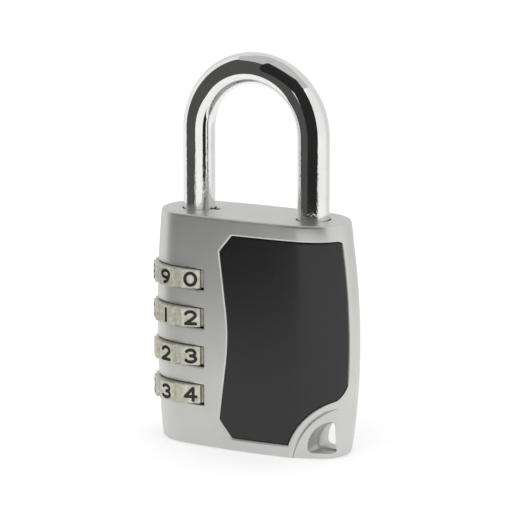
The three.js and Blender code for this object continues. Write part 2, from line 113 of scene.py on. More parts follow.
FLAT_RADIUS = 11.5
FLAT_WIDTH = 4.6
GROOVE_RADIUS = 10.95
GROOVE_FLOOR = math.radians(8.0)
NUMBERS = 10
FIRST_FLAT = math.radians(18.0)  # from the front towards the right
WINDOW_RADIUS = 12.45
WINDOW_HEIGHT = DIAL_HEIGHT + 0.5
SLEEVE_BORE = 6.9
SLEEVE_FOOT = -4.2  # below the middle of its dial
KEY_REACH = 7.6
KEY_WIDTH = 2.2
SHOWN = {1: 4, 2: 3, 3: 2, 4: 0}  # the number on the first flat of each dial

GATE_WIDTH = 1.8
SLOT_REACH = 5.9
CORE_WALL = 19.0
CORE = ((CORE_WALL, 32.0), (-9.0, 7.0), (8.5, 47.0))
SCREW_HOLE = 1.1
BALL_BORE = 1.55
BALL_BORE_START = 12.0
PLUG_RADIUS = 7.4
PLUG_SUNK = 0.3
PLUG_FLANGE_TOP = 1.3
PLUG_NECK = 6.6
PLUG_POCKET = 2.7
PLUG_POCKET_FLOOR = 1.9
PLUG_PIN_HOLE = 1.1
PLUG_PIN_Z = 2.9
PLUG_PIN_START = 3.9
GAP = 0.3
FAR = 30.0

EDGE_ROUND = 0.5  # around the panels' pockets
RIDGE_ROUND = 1.2  # around the recesses
HOLE_EDGE_ROUND = 0.3
PANEL_RIM_ROUND = 0.22
WINDOW_ROUND = 0.22
LEG_HOLE_ROUND = 0.25
FINE = 96  # sides of a round piece

# ---- Shapes: lists of points and faces ----


def loft(rings, closed=False):
    """A skin over rings with equal numbers of points, capped at both ends unless it closes on itself."""
    count = len(rings[0])
    points = [point for ring in rings for point in ring]
    faces = []
    for row in range(len(rings) if closed else len(rings) - 1):
        low = row * count
        high = (row + 1) % len(rings) * count
        for i in range(count):
            j = (i + 1) % count
            faces.append((low + i, low + j, high + j, high + i))
    if not closed:
        faces.append(tuple(range(count)))
        faces.append(tuple(range(len(points) - count, len(points))))
    return points, faces


def turned(levels, centre=(0.0, 0.0), sides=FINE):
    """A solid turned about a vertical axis, from (radius, z) levels."""
    rings = []
    for radius, z in levels:
        angles = [2 * math.pi * i / sides for i in range(sides)]
        rings.append([Vector((centre[0] + radius * math.cos(a), centre[1] + radius * math.sin(a), z))
                      for a in angles])
    return loft(rings)


def rod(radius, bottom, top, centre=(0.0, 0.0), sides=FINE):
    return turned([(radius, bottom), (radius, top)], centre, sides)


def moved(shape, matrix):
    points, faces = shape
    return [matrix @ point for point in points], faces


def cross_rod(radius, near, far, x, z, sides=32):
    """A rod along Y, from one depth to another."""
    lying = Matrix.Translation((x, 0, z)) @ Matrix.Rotation(-math.pi / 2, 4, "X")
    return moved(rod(radius, near, far, sides=sides), lying)


def block(x_range, y_range, z_range):
    rings = []
    for z in z_range:
        corners = ((0, 0), (1, 0), (1, 1), (0, 1))
        rings.append([Vector((x_range[i], y_range[j], z)) for i, j in corners])
    return loft(rings)


def prism(outline, near, far):
    """An outline of (x, z) points, drawn out along Y."""
    return loft([[Vector((x, y, z)) for x, z in outline] for y in (near, far)])


def sweep(path, section, closed=True, scales=None):
    """A tube along a path of (point, normal), with a section of (across, out) offsets.

    Across is to the right of the way, seen with the normal towards the viewer.
    """
    rings = []
    last = len(path) - 1
    for i, (point, normal) in enumerate(path):
        before = path[i - 1][0] if closed or i > 0 else point
        after = path[(i + 1) % len(path)][0] if closed or i < last else point
        incoming = (point - before).normalized()
        outgoing = (after - point).normalized()
        way = (incoming + outgoing).normalized()
        right = way.cross(normal).normalized()
        stretch = 1.0 if not (closed or 0 < i < last) else 1 / max(way.dot(outgoing), 0.6)
        scale = scales[i] if scales else 1.0
        rings.append([point + (right * across * stretch + normal * out) * scale for across, out in section])
    return loft(rings, closed)


def joined(shapes):
    points, faces = [], []
    for more_points, more_faces in shapes:
        start = len(points)
        points += more_points
        faces += [tuple(start + i for i in face) for face in more_faces]
    return points, faces


def rounding(radius, steps=4):
    """The section of a cutter that rounds an edge: the wall is below, and the kept face on the right."""
    section = []
    for step in range(steps + 1):
        angle = math.pi / 2 * step / steps
        section.append((radius * (1 - math.sin(angle)), radius * (math.cos(angle) - 1)))
    return section + [(-radius, 0.0), (0.0, radius)]


# ---- The body's outer surface ----

FACE_STEPS = 24
END_STEPS = 48
FILLET_STEPS = 6
BARREL_STEPS = 40


def face_bow(x):
    return FACE_BOW * (1 - (x / LEG_X) ** 2)


class Skin:
    """The body's surface, drawn in by an inset on its faces and another at its round ends."""

    def __init__(self, face_inset=0.0, end_inset=None):
        self.half = HALF_THICKNESS - face_inset
        self.end_inset = face_inset if end_inset is None else end_inset

    def reach(self, x, z):
        """How far a round end goes past the leg's axis."""
        half_width, widest_z, barrel_radius = LEFT_END if x < 0 else RIGHT_END
        return half_width - (z - widest_z) ** 2 / (2 * barrel_radius) - self.end_inset - LEG_X

    def depth(self, x, z):
        """From the middle plane to the face."""
        if abs(x) <= LEG_X:
            return self.half + face_bow(x)
        start = math.sin(END_TURN)
        sine = start + (1 - start) * (abs(x) - LEG_X) / self.reach(x, z)
        return self.half * math.sqrt(max(0.0, 1 - sine ** 2)) / math.cos(END_TURN)

    def edge_x(self, depth, z):
        """Where the right end is this far from the middle plane."""
        start = math.sin(END_TURN)
        sine = math.sqrt(1 - (depth * math.cos(END_TURN) / self.half) ** 2)
        return LEG_X + self.reach(LEG_X + 1, z) * (sine - start) / (1 - start)

    def on_face(self, x, z, side):
        """The point and the outward normal on the front (side -1) or the rear face (side 1)."""
        step = 0.02
        inner = x - step if x > 0 else x + step
        slope_x = (self.depth(x, z) - self.depth(inner, z)) / (x - inner)
        slope_z = (self.depth(x, z + step) - self.depth(x, z - step)) / (2 * step)
        normal = Vector((-slope_x, side, -slope_z)).normalized()
        return Vector((x, side * self.depth(x, z), z)), normal

    def half_outline(self, z, inset=0.0):
        """The level outline from the front left, along the front face and round the right end."""
        half = self.half - inset
        points = []
        for step in range(FACE_STEPS):
            x = LEG_X * (2 * step / FACE_STEPS - 1)
            points.append((x, -half - face_bow(x)))
        return points + self.end_outline(z, 1, inset)

    def end_outline(self, z, end, inset=0.0):
        """A round end's outline: the right end (1) front to rear, the left end (-1) rear to front."""
        half = self.half - inset
        reach = self.reach(end, z) - inset
        start = math.sin(END_TURN)
        points = []
        for step in range(END_STEPS):
            angle = END_TURN + (math.pi - 2 * END_TURN) * step / END_STEPS
            out = (math.sin(angle) - start) / (1 - start)
            points.append((end * (LEG_X + reach * out), -end * half * math.cos(angle) / math.cos(END_TURN)))
        return points

    def level(self, z, inset):
        """The whole outline at one height, anticlockwise from above."""
        front = self.half_outline(z, inset)
        rear = [(-x, -y) for x, y in front[:FACE_STEPS]] + self.end_outline(z, -1, inset)
        return [Vector((x, y, z)) for x, y in front + rear]

    def solid(self):
        rings = []
        for step in range(FILLET_STEPS + 1):
            angle = math.pi / 2 * step / FILLET_STEPS
            rings.append(self.level(BASE_FILLET * (1 - math.cos(angle)),
                                    BASE_FILLET * (1 - math.sin(angle))))
        wall_top = BODY_HEIGHT - TOP_FILLET
        for step in range(1, BARREL_STEPS):
            rings.append(self.level(BASE_FILLET + (wall_top - BASE_FILLET) * step / BARREL_STEPS, 0.0))
        for step in range(FILLET_STEPS, -1, -1):
            angle = math.pi / 2 * step / FILLET_STEPS
            rings.append(self.level(BODY_HEIGHT - TOP_FILLET * (1 - math.cos(angle)),
                                    TOP_FILLET * (1 - math.sin(angle))))
        return loft(rings)


OUTSIDE = Skin()

# ---- Outlines on the faces ----

LINE_STEP = 1.0
CURVE_STEPS = 16
ARC_STEP = math.radians(2.5)


class Outline:
    """A closed outline in X and Z, drawn anticlockwise with lines, quadratic curves and arcs."""

    def __init__(self, x, z):
        self.points = [Vector((x, z))]

    def line(self, x, z):
        start, end = self.points[-1], Vector((x, z))
        count = math.ceil((end - start).length / LINE_STEP - 1e-6)
        self.points += [start.lerp(end, (i + 1) / count) for i in range(count)]
        return self

    def curve(self, control_x, control_z, x, z):
        start, control, end = self.points[-1], Vector((control_x, control_z)), Vector((x, z))
        for i in range(CURVE_STEPS):
            t = (i + 1) / CURVE_STEPS
            self.points.append(start.lerp(control, t).lerp(control.lerp(end, t), t))
        return self

    def arc(self, x, z, radius, start, end):
        self.line(x + radius * math.cos(start), z + radius * math.sin(start))
        count = math.ceil(abs(end - start) / ARC_STEP)
        for i in range(count):
            angle = start + (end - start) * (i + 1) / count
            self.points.append(Vector((x + radius * math.cos(angle), z + radius * math.sin(angle))))
        return self

    def close(self):
        self.line(*self.points[0])
        self.points.pop()
        return self.points


class Recess:
    """The flat-floored recess around the eyelet on one face."""

    def __init__(self, side, panel_arc, arc, depth, slope):
        self.side, self.panel_arc, self.arc, self.depth, self.slope = side, panel_arc, arc, depth, slope

    def floor(self, x):
        """From the middle plane to the recess's floor."""
        return self.depth - self.slope * (x - RECESS_X)

    def floor_place(self, x, z):
        """The point and the outward normal on the floor."""
        return Vector((x, self.side * self.floor(x), z)), Vector((self.slope, self.side, 0)).normalized()

    def outline(self):
        outline = Outline(EYELET_X, EYELET_Z + self.arc)
        outline.arc(EYELET_X, EYELET_Z, self.arc, math.pi / 2, math.pi)
        outline.line(EYELET_X, EYELET_Z)
        return outline.close()

    def tool(self):
        """What is cut from the face: the recess's outline, down to its floor."""
        ends = (EYELET_X - self.arc - 1, EYELET_X + 1)
        plan = [(x, self.side * self.floor(x)) for x in ends]
        plan += [(x, self.side * FAR) for x in reversed(ends)]
        above = loft([[Vector((x, y, z)) for x, y in plan] for z in (-5.0, 25.0)])
        tool = make("recess", prism(self.outline(), *facing(self.side, 0)), SILVER)
        return combine(tool, [make("above_floor", above, SILVER)], "INTERSECT")


FRONT_RECESS = Recess(-1, 18.5, 16.5, 8.55, 0.4)
REAR_RECESS = Recess(1, 21.0, 19.0, 3.6, 0.05)  # larger and deeper, which gives a cord room


def panel_outline(gap, recess):
    """The cover panel: cut left corners, a waisted left edge and an arc around the eyelet."""
    top, bottom = PANEL_TOP, PANEL_BOTTOM
    middle = (top + bottom) / 2
    radius = recess.panel_arc + gap
    arc_foot = math.asin((bottom + gap - EYELET_Z) / radius)
    arc_head = math.acos((EYELET_X - PANEL_ARC_END_X) / radius)
    arc_head_z = EYELET_Z + radius * math.sin(arc_head)
    outline = Outline(-1.1 + gap / 2, top - gap)
    outline.line(-4.7 + gap, 50.5 - gap / 2)
    outline.line(-2.85 + gap, middle + 7)
    outline.curve(-1.95 + gap, middle, -2.85 + gap, middle - 7)
    outline.line(-4.7 + gap, 7.6 + gap / 2)
    outline.line(-1.1 + gap / 2, bottom + gap)
    outline.arc(EYELET_X, EYELET_Z, radius, math.pi - arc_foot, math.pi - arc_head)
    outline.curve(27.5 - gap, arc_head_z + 1.5, 27.96 - gap / 2, arc_head_z + 5)
    outline.line(31, arc_head_z + 6)
    outline.line(31, 50)
    outline.line(26.2 - gap / 2, 53.2)
    outline.curve(26.05 - gap / 2, top - gap, 25.2 - gap, top - gap)
    return outline.close()


def eyelet_outline(inset):
    """The eyelet's hole: close to a quarter disc, with a flat bottom and a flat right side."""
    bottom = HOLE_BOTTOM + inset
    radius = HOLE_RADIUS - inset
    head = math.acos((HOLE_RIGHT - HOLE_X) / radius)
    bend = HOLE_ROUND / radius
    left = HOLE_X - radius
    outline = Outline(left + 2 * HOLE_ROUND, bottom)
    outline.line(HOLE_RIGHT - HOLE_ROUND, bottom)
    outline.curve(HOLE_RIGHT, bottom, HOLE_RIGHT, bottom + HOLE_ROUND)
    outline.line(HOLE_RIGHT, HOLE_Z + radius - 2 * HOLE_ROUND)
    outline.curve(HOLE_RIGHT, HOLE_Z + radius - HOLE_ROUND / 2,
                  HOLE_X + radius * math.cos(head + bend), HOLE_Z + radius * math.sin(head + bend))
    outline.arc(HOLE_X, HOLE_Z, radius, head + bend, math.pi)
    outline.curve(left, bottom, left + 2 * HOLE_ROUND, bottom)
    return outline.points[:-1]


def facing(side, near, far=FAR):
    """The depths of a feature on one face, in rising order."""
    return sorted((side * near, side * far))


def edge_path(outline, skin, side, edge_depth=0.0):
    """An outline laid on a face, as (point, normal), cut short where the round end gets this thin."""
    path = []
    for x, z in outline if side < 0 else reversed(outline):
        if edge_depth:
            x = min(x, skin.edge_x(edge_depth, z))
        point, normal = skin.on_face(x, z, side)
        if not path or (point - path[-1][0]).length > 0.05:
            path.append((point, normal))
    return path


# ---- Objects ----


def make(name, shape, material):
    """An object of a closed shape, in millimetres, with its faces pointing out."""
    points, faces = shape
    mesh = bpy.data.meshes.new(name)
    mesh.from_pydata(points, [], faces)
    work = bmesh.new()
    work.from_mesh(mesh)
    bmesh.ops.remove_doubles(work, verts=work.verts, dist=1e-4)
    bmesh.ops.recalc_face_normals(work, faces=work.faces)
    work.to_mesh(mesh)
    work.free()
    mesh.materials.append(material)
    item = bpy.data.objects.new(name, mesh)
    bpy.context.scene.collection.objects.link(item)
    return item


def bake(item):
    """Turns an object's modifiers into its mesh."""
    graph = bpy.context.evaluated_depsgraph_get()
    mesh = bpy.data.meshes.new_from_object(item.evaluated_get(graph), depsgraph=graph)
    item.modifiers.clear()
    item.data = mesh
    return item


def combine(item, tools, operation="DIFFERENCE"):
    """Cuts an object with tools, or keeps what they share, and removes the tools."""
    for tool in tools:
        modifier = item.modifiers.new(tool.name, "BOOLEAN")
        modifier.solver = "MANIFOLD"
        modifier.operation = operation
        modifier.material_mode = "TRANSFER"
        modifier.object = tool
    bake(item)
    for tool in tools:
        bpy.data.objects.remove(tool)
    return item


def place(item, body, nodes, smooth_angle=30.0):
    """Brings a piece to metres, smooths its shading and hands it to the frame."""
    item.data.transform(Matrix.Scale(MM, 4))
    finish_edges(item, smooth_angle)
    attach(item, body)
    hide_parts(*nodes)
    return item


def finish_edges(item, smooth_angle):
    item.data.shade_smooth()
    item.data.set_sharp_from_angle(angle=math.radians(smooth_angle))
    modifier = item.modifiers.new("even_shading", "WEIGHTED_NORMAL")
    modifier.keep_sharp = True


# ---- Materials ----


def tone(red, green, blue):
    """A colour from its 0 to 255 display values."""
    linear = [((c / 255 + 0.055) / 1.055) ** 2.4 if c > 10 else c / 255 / 12.92 for c in (red, green, blue)]
    return (*linear, 1.0)


class Finish:
    """A surface whose colour, roughness and relief vary with noise in the piece's own space."""

    def __init__(self, name, metallic, **fixed):
        self.material = bpy.data.materials.new(name)
        self.material.use_nodes = True
        self.nodes = self.material.node_tree.nodes
        self.links = self.material.node_tree.links
        self.surface = self.nodes["Principled BSDF"]
        self.surface.inputs["Metallic"].default_value = metallic
        for socket, value in fixed.items():
            self.surface.inputs[socket.replace("_", " ")].default_value = value
        self.space = self.nodes.new("ShaderNodeTexCoord").outputs["Object"]
        self.relief_so_far = None

    def noise(self, size, stretch=(1.0, 1.0, 1.0), detail=3.0):
        """Noise with features of this size in millimetres, longer along an axis by its stretch."""
        mapping = self.nodes.new("ShaderNodeMapping")
        mapping.inputs["Scale"].default_value = [1 / (size * MM * s) for s in stretch]
        texture = self.nodes.new("ShaderNodeTexNoise")
        texture.inputs["Scale"].default_value = 1.0
        texture.inputs["Detail"].default_value = detail
        self.links.new(self.space, mapping.inputs["Vector"])
        self.links.new(mapping.outputs["Vector"], texture.inputs["Vector"])
        return texture.outputs["Fac"]

    def low_only(self, factor, full, none):
        """The factor, fading away between two heights in millimetres."""
        parts = self.nodes.new("ShaderNodeSeparateXYZ")
        self.links.new(self.space, parts.inputs["Vector"])
        fade = self.nodes.new("ShaderNodeMapRange")
        fade.inputs["From Min"].default_value = full * MM
        fade.inputs["From Max"].default_value = none * MM
        fade.inputs["To Min"].default_value = 1.0
        fade.inputs["To Max"].default_value = 0.0
        self.links.new(parts.outputs["Z"], fade.inputs["Value"])
        product = self.nodes.new("ShaderNodeMath")
        product.operation = "MULTIPLY"
        self.links.new(factor, product.inputs[0])
        self.links.new(fade.outputs["Result"], product.inputs[1])
        return product.outputs["Value"]

    def colour(self, factor, dark, light):
        ramp = self.nodes.new("ShaderNodeValToRGB")
        ramp.color_ramp.elements[0].position = 0.3
        ramp.color_ramp.elements[0].color = dark
        ramp.color_ramp.elements[1].position = 0.7
        ramp.color_ramp.elements[1].color = light
        self.links.new(factor, ramp.inputs["Fac"])
        self.links.new(ramp.outputs["Color"], self.surface.inputs["Base Color"])
        return self

    def roughness(self, factor, low, high):
        spread = self.nodes.new("ShaderNodeMapRange")
        spread.inputs["From Min"].default_value = 0.3
        spread.inputs["From Max"].default_value = 0.7
        spread.inputs["To Min"].default_value = low
        spread.inputs["To Max"].default_value = high
        self.links.new(factor, spread.inputs["Value"])
        self.links.new(spread.outputs["Result"], self.surface.inputs["Roughness"])
        return self

    def relief(self, factor, height, strength=1.0):
        """Bumps of this height in millimetres, on top of any made before."""
        bump = self.nodes.new("ShaderNodeBump")
        bump.inputs["Distance"].default_value = height * MM
        bump.inputs["Strength"].default_value = strength
        self.links.new(factor, bump.inputs["Height"])
        if self.relief_so_far:
            self.links.new(self.relief_so_far, bump.inputs["Normal"])
        self.relief_so_far = bump.outputs["Normal"]
        self.links.new(self.relief_so_far, self.surface.inputs["Normal"])
        return self


def silver_lacquer():
    finish = Finish("silver_lacquer", 0.85)
    finish.colour(finish.noise(9.0), tone(198, 199, 195), tone(204, 205, 201))
    finish.roughness(finish.noise(0.35), 0.33, 0.41)
    finish.relief(finish.noise(0.09, detail=1.0), 0.0012)
    finish.relief(finish.noise(1.6), 0.004, 0.5)
    return finish.material


def charcoal_plastic():
    finish = Finish("charcoal_plastic", 0.0, Specular_IOR_Level=0.55)
    finish.colour(finish.noise(0.5), tone(9, 9, 11), tone(14, 14, 16))
    finish.roughness(finish.noise(0.8), 0.3, 0.37)
    finish.relief(finish.noise(0.22, detail=2.0), 0.005)
    return finish.material


def polished_chrome():
    finish = Finish("polished_chrome", 1.0)
    finish.colour(finish.noise(6.0), tone(223, 223, 221), tone(233, 233, 231))
    finish.roughness(finish.noise(0.25, (1.0, 1.0, 12.0)), 0.025, 0.07)
    finish.relief(finish.noise(0.7, (1.0, 1.0, 5.0)), 0.0015)
    finish.relief(finish.low_only(finish.noise(0.45, (1.0, 1.0, 1.6), 5.0), 64.0, 80.0), 0.06)
    return finish.material


def satin_nickel():
    finish = Finish("satin_nickel", 0.45)
    finish.colour(finish.noise(1.1), tone(172, 170, 154), tone(205, 203, 189))
    finish.roughness(finish.noise(0.3), 0.34, 0.46)
    finish.relief(finish.noise(0.25), 0.006)
    return finish.material


def black_fill():
    finish = Finish("black_fill", 0.0)
    finish.colour(finish.noise(0.4), tone(14, 14, 13), tone(24, 24, 22))
    finish.roughness(finish.noise(0.2), 0.4, 0.6)
    return finish.material


# Painted shade: a near-black casting colour for the walls of the dials' windows, standing in for the shade
# in the gaps around the dials.
def painted_window_shade():
    finish = Finish("painted_window_shade", 0.2)
    finish.colour(finish.noise(0.9), tone(20, 20, 19), tone(44, 43, 40))
    finish.roughness(finish.noise(0.5), 0.55, 0.75)
    finish.relief(finish.noise(0.3), 0.01)
    return finish.material


def raw_zinc():
    finish = Finish("raw_zinc", 0.8)
    finish.colour(finish.noise(2.0), tone(128, 128, 125), tone(148, 148, 145))
    finish.roughness(finish.noise(0.5), 0.42, 0.58)
    finish.relief(finish.noise(0.3), 0.01)
    return finish.material


def turned_brass():
    finish = Finish("turned_brass", 1.0)
    finish.colour(finish.noise(1.5), tone(176, 141, 74), tone(193, 158, 92))
    finish.roughness(finish.noise(0.15, (8.0, 8.0, 1.0)), 0.25, 0.4)
    finish.relief(finish.noise(0.12, (8.0, 8.0, 1.0)), 0.003)
    return finish.material


def machined_steel():
    finish = Finish("machined_steel", 1.0)
    finish.colour(finish.noise(1.5), tone(140, 142, 144), tone(158, 160, 162))
    finish.roughness(finish.noise(0.15, (8.0, 8.0, 1.0)), 0.24, 0.38)
    finish.relief(finish.noise(0.15, (8.0, 8.0, 1.0)), 0.003)
    return finish.material


def spring_wire():
    finish = Finish("spring_wire", 1.0)
    finish.colour(finish.noise(0.6), tone(108, 110, 113), tone(126, 128, 131))
    finish.roughness(finish.noise(0.3), 0.22, 0.34)
    return finish.material


SILVER = silver_lacquer()
CHARCOAL = charcoal_plastic()
CHROME = polished_chrome()
NICKEL = satin_nickel()
FILL = black_fill()
WINDOW_SHADE = painted_window_shade()
ZINC = raw_zinc()
BRASS = turned_brass()
STEEL = machined_steel()
WIRE = spring_wire()

# ---- The casting ----

HEEL = Matrix.Translation((-LEG_X, 0, 0))
DETENT = HEEL @ Matrix.Rotation(-FIRST_FLAT, 4, "Z")  # X points from the dials' axis to the detents
ALONG_X = Matrix.Rotation(math.pi / 2, 4, "Y")


def keyhole(radius, steps=90):
    """The heel leg's hole with the slot that its lugs are put in through, anticlockwise from above."""
    half_slot = GATE_WIDTH / 2
    turn = math.asin(half_slot / radius)
    angles = [turn + (2 * math.pi - 2 * turn) * i / steps for i in range(steps + 1)]
    points = [(radius * math.cos(a), radius * math.sin(a)) for a in angles]
    return points + [(SLOT_REACH, -half_slot), (SLOT_REACH, half_slot)]


def leg_hole_edges():
    """Cutters that round the edges of the two holes in the top face."""
    section = rounding(LEG_HOLE_ROUND)
    up = Vector((0, 0, 1))
    angles = [2 * math.pi * i / FINE for i in range(FINE)]
    toe = [(LEG_HOLE_RADIUS * math.cos(a), LEG_HOLE_RADIUS * math.sin(a)) for a in angles]
    holes = ((-LEG_X, keyhole(LEG_HOLE_RADIUS)), (LEG_X, toe))
    return [sweep([(Vector((centre + x, y, BODY_HEIGHT)), up) for x, y in points], section)
            for centre, points in holes]


def window_end_x(z):
    """Where the front face meets the round back wall of a dial's window."""
    x = 0.0
    for _ in range(20):
        x = -LEG_X + math.sqrt(WINDOW_RADIUS ** 2 - OUTSIDE.depth(x, z) ** 2)
    return x


def window_edge(middle):
    """The edge of a window, once round: above the dial from front to rear, and back below it."""
    def level(z):
        end = window_end_x(z)
        front = [Vector((end + (-LEG_X - end) * i / 12, 0, z)) for i in range(12)]
        for point in front:
            point.y = -OUTSIDE.depth(point.x, z)
        rear = [Vector((point.x, -point.y, z)) for point in reversed(front)]
        left = [Vector((x, y, z)) for x, y in reversed(OUTSIDE.end_outline(z, -1))]
        return front + left + rear

    above, below = level(middle + WINDOW_HEIGHT / 2), level(middle - WINDOW_HEIGHT / 2)
    path = above + list(reversed(below))
    return [(point, outward(point)) for point in path]


def outward(point):
    """The outward direction at a point of the body's left end or its faces there."""
    if abs(point.y) < 0.3:
        return Vector((-1, 0, 0))
    return OUTSIDE.on_face(point.x, point.z, math.copysign(1, point.y))[1]


def heel_bores():
    sleeve_top = DIAL_Z[4] + SLEEVE_FOOT + DIAL_PITCH
    slot = (-GATE_WIDTH / 2, GATE_WIDTH / 2)
    bores = [
        rod(SLEEVE_BORE, -1, sleeve_top),
        block((0, KEY_REACH), (-KEY_WIDTH / 2, KEY_WIDTH / 2), (-1, DIAL_Z[4])),
        rod(PLUG_RADIUS + GAP, -1, PLUG_FLANGE_TOP + GAP),
        rod(LEG_HOLE_RADIUS, sleeve_top - 1, BODY_HEIGHT + 1),
        block((0, SLOT_REACH), slot, (sleeve_top - 1, BODY_HEIGHT + 1)),
        cross_rod(PLUG_PIN_HOLE, PLUG_PIN_START, FAR, 0, PLUG_PIN_Z),
    ]
    return [moved(bore, HEEL) for bore in bores]


def core_bores():
    """The cavity for the spring strip, its two screw holes and the four detent bores."""
    bores = [moved(block(*CORE), DETENT)]
    for low, high in ((1, 2), (3, 4)):
        level = Matrix.Translation((0, 0, (DIAL_Z[low] + DIAL_Z[high]) / 2))
        hole = rod(SCREW_HOLE, CORE_WALL - 4, CORE_WALL + 1, sides=32)
        bores.append(moved(hole, DETENT @ level @ ALONG_X))
    for number in DIALS:
        level = Matrix.Translation((0, 0, DIAL_Z[number]))
        hole = rod(BALL_BORE, BALL_BORE_START, CORE_WALL + 1, sides=32)
        bores.append(moved(hole, DETENT @ level @ ALONG_X))
    return bores


def face_tools(recess):
    """What is cut into the front or the rear face."""
    side = recess.side
    pocket = make("pocket", prism(panel_outline(0, recess), *facing(side, PANEL_EDGE_Y)), SILVER)
    combine(pocket, [make("floor", Skin(POCKET_DEPTH).solid(), SILVER)])
    panel_edge = edge_path(panel_outline(0, recess), OUTSIDE, side, PANEL_EDGE_Y)
    hole = eyelet_outline(0) if side < 0 else list(reversed(eyelet_outline(0)))
    hole_edge = [recess.floor_place(x, z) for x, z in hole]
    tools = [pocket, recess.tool(),
             make("panel_edge", sweep(panel_edge, rounding(EDGE_ROUND)), SILVER),
             make("hole_edge", sweep(hole_edge, rounding(HOLE_EDGE_ROUND)), SILVER),
             make("recess_edge", recess_edge(recess), SILVER)]
    for x, z in PEGS:
        floor = OUTSIDE.depth(x, z) - POCKET_DEPTH
        near, far = facing(side, floor - PEG_LENGTH, floor + 1)
        tools.append(make("peg_hole", cross_rod(PEG_RADIUS + GAP, near, far, x, z), SILVER))
    return tools


def recess_edge(recess):
    """Rounds the ridge around a recess, less and less as the recess runs out at the round end."""
    path, scales = [], []
    steps = 60
    for step in range(steps + 1):
        angle = math.pi * (0.5 + 0.5 * step / steps)
        x = EYELET_X + recess.arc * math.cos(angle)
        z = EYELET_Z + recess.arc * math.sin(angle)
        if x > OUTSIDE.edge_x(recess.floor(x), z):
            continue
        path.append(OUTSIDE.on_face(x, z, recess.side))
        share = (OUTSIDE.depth(x, z) - recess.floor(x)) / RIDGE_ROUND
        scales.append(min(1.0, max(0.05, share)))
    if recess.side > 0:
        path.reverse()
        scales.reverse()
    return sweep(path, rounding(RIDGE_ROUND), closed=False, scales=scales)


def casting():
    body = make("body_casting_shell", OUTSIDE.solid(), SILVER)
    tools = face_tools(FRONT_RECESS) + face_tools(REAR_RECESS)
    tools.append(make("eyelet_front", prism(eyelet_outline(0), -FAR, WEB_FRONT), SILVER))
    tools.append(make("eyelet_web", prism(eyelet_outline(WEB_INSET), -FAR, FAR), SILVER))
    tools.append(make("eyelet_rear", prism(eyelet_outline(0), WEB_REAR, FAR), SILVER))
    half_window = WINDOW_HEIGHT / 2
    windows = [moved(rod(WINDOW_RADIUS, DIAL_Z[n] - half_window, DIAL_Z[n] + half_window, sides=160), HEEL)
               for n in DIALS]
    # The windows' cut walls take the painted shade colour, a dark stand-in for the shade in the gaps around
    # the dials.
    tools.append(make("windows", joined(windows), WINDOW_SHADE))
    window_edges = [sweep(window_edge(DIAL_Z[n]), rounding(WINDOW_ROUND)) for n in DIALS]
    tools.append(make("window_edges", joined(window_edges), SILVER))
    for shape in heel_bores() + core_bores():
        tools.append(make("bore", shape, ZINC))
    tools.append(make("toe_bore", moved(rod(LEG_HOLE_RADIUS, TOE_END_Z - GAP, BODY_HEIGHT + 1),
                                        Matrix.Translation((LEG_X, 0, 0))), ZINC))
    for shape in leg_hole_edges():
        tools.append(make("leg_edge", shape, SILVER))
    combine(body, tools)
    return place(body, "housing", ["body_casting"])


# ---- The cover panels ----


def cover_panel(name, recess):
    side = recess.side
    outline = panel_outline(PANEL_GAP, recess)
    top_skin = Skin(PANEL_SUNK)
    edge_y = PANEL_EDGE_Y + PANEL_GAP
    panel = make(name + "_cover", prism(outline, *facing(side, edge_y)), CHARCOAL)
    combine(panel, [make("top", top_skin.solid(), CHARCOAL)], "INTERSECT")
    rim = sweep(edge_path(outline, top_skin, side, edge_y), inside_rounding(PANEL_RIM_ROUND))
    combine(panel, [make("rim", rim, CHARCOAL),
                    make("back", Skin(PANEL_SUNK + PANEL_THICKNESS).solid(), CHARCOAL)])
    pegs = []
    for x, z in PEGS:
        back = OUTSIDE.depth(x, z) - POCKET_DEPTH + GAP
        near, far = facing(side, back - PEG_LENGTH, back + 0.5)
        pegs.append(make("peg", cross_rod(PEG_RADIUS, near, far, x, z), CHARCOAL))
    combine(panel, pegs, "UNION")
    return place(panel, "housing", [name])


def inside_rounding(radius):
    """The section that rounds the rim of a plate: the kept face is on the left of the way."""
    return [(-across, out) for across, out in reversed(rounding(radius))]


# ---- The shackle ----


def shackle_path():
    """Up the heel leg, over the arch and down the toe leg, as (point, normal)."""
    forward = Vector((0, -1, 0))
    arch_steps = 120
    points = [Vector((-LEG_X, 0, HEEL_END_Z)), Vector((-LEG_X, 0, HEEL_END_Z + SHACKLE_BEVEL))]
    for step in range(arch_steps + 1):
        angle = math.pi * (1 - step / arch_steps)
        points.append(Vector((LEG_X * math.cos(angle), 0, ARCH_Z + LEG_X * math.sin(angle))))
    points += [Vector((LEG_X, 0, TOE_END_Z + SHACKLE_BEVEL)), Vector((LEG_X, 0, TOE_END_Z))]
    return [(point, forward) for point in points]


def shackle():
    sides = 72
    angles = [2 * math.pi * i / sides for i in range(sides)]
    section = [(SHACKLE_RADIUS * math.cos(a), SHACKLE_RADIUS * math.sin(a)) for a in angles]
    path = shackle_path()
    scales = [1.0] * len(path)
    scales[0] = scales[-1] = 1 - SHACKLE_BEVEL / SHACKLE_RADIUS
    steel = make("shackle_bow", sweep(path, section, closed=False, scales=scales), CHROME)
    socket = moved(rod(SOCKET_RADIUS, HEEL_END_Z - 1, HEEL_END_Z + SOCKET_DEPTH, sides=48), HEEL)
    pin_hole = cross_rod(CROSS_PIN_HOLE, -FAR, FAR, -LEG_X, HEEL_END_Z + CROSS_PIN_UP)
    combine(steel, [make("socket", socket, STEEL), make("pin_hole", pin_hole, STEEL)])
    return place(steel, "shackle_unit", ["shackle"])


# ---- The number dials ----

STROKE = 0.82
DIGIT_HALF_WIDTH = (3.6 - STROKE) / 2
DIGIT_HALF_HEIGHT = (3.9 - STROKE) / 2
ENGRAVED = 0.24


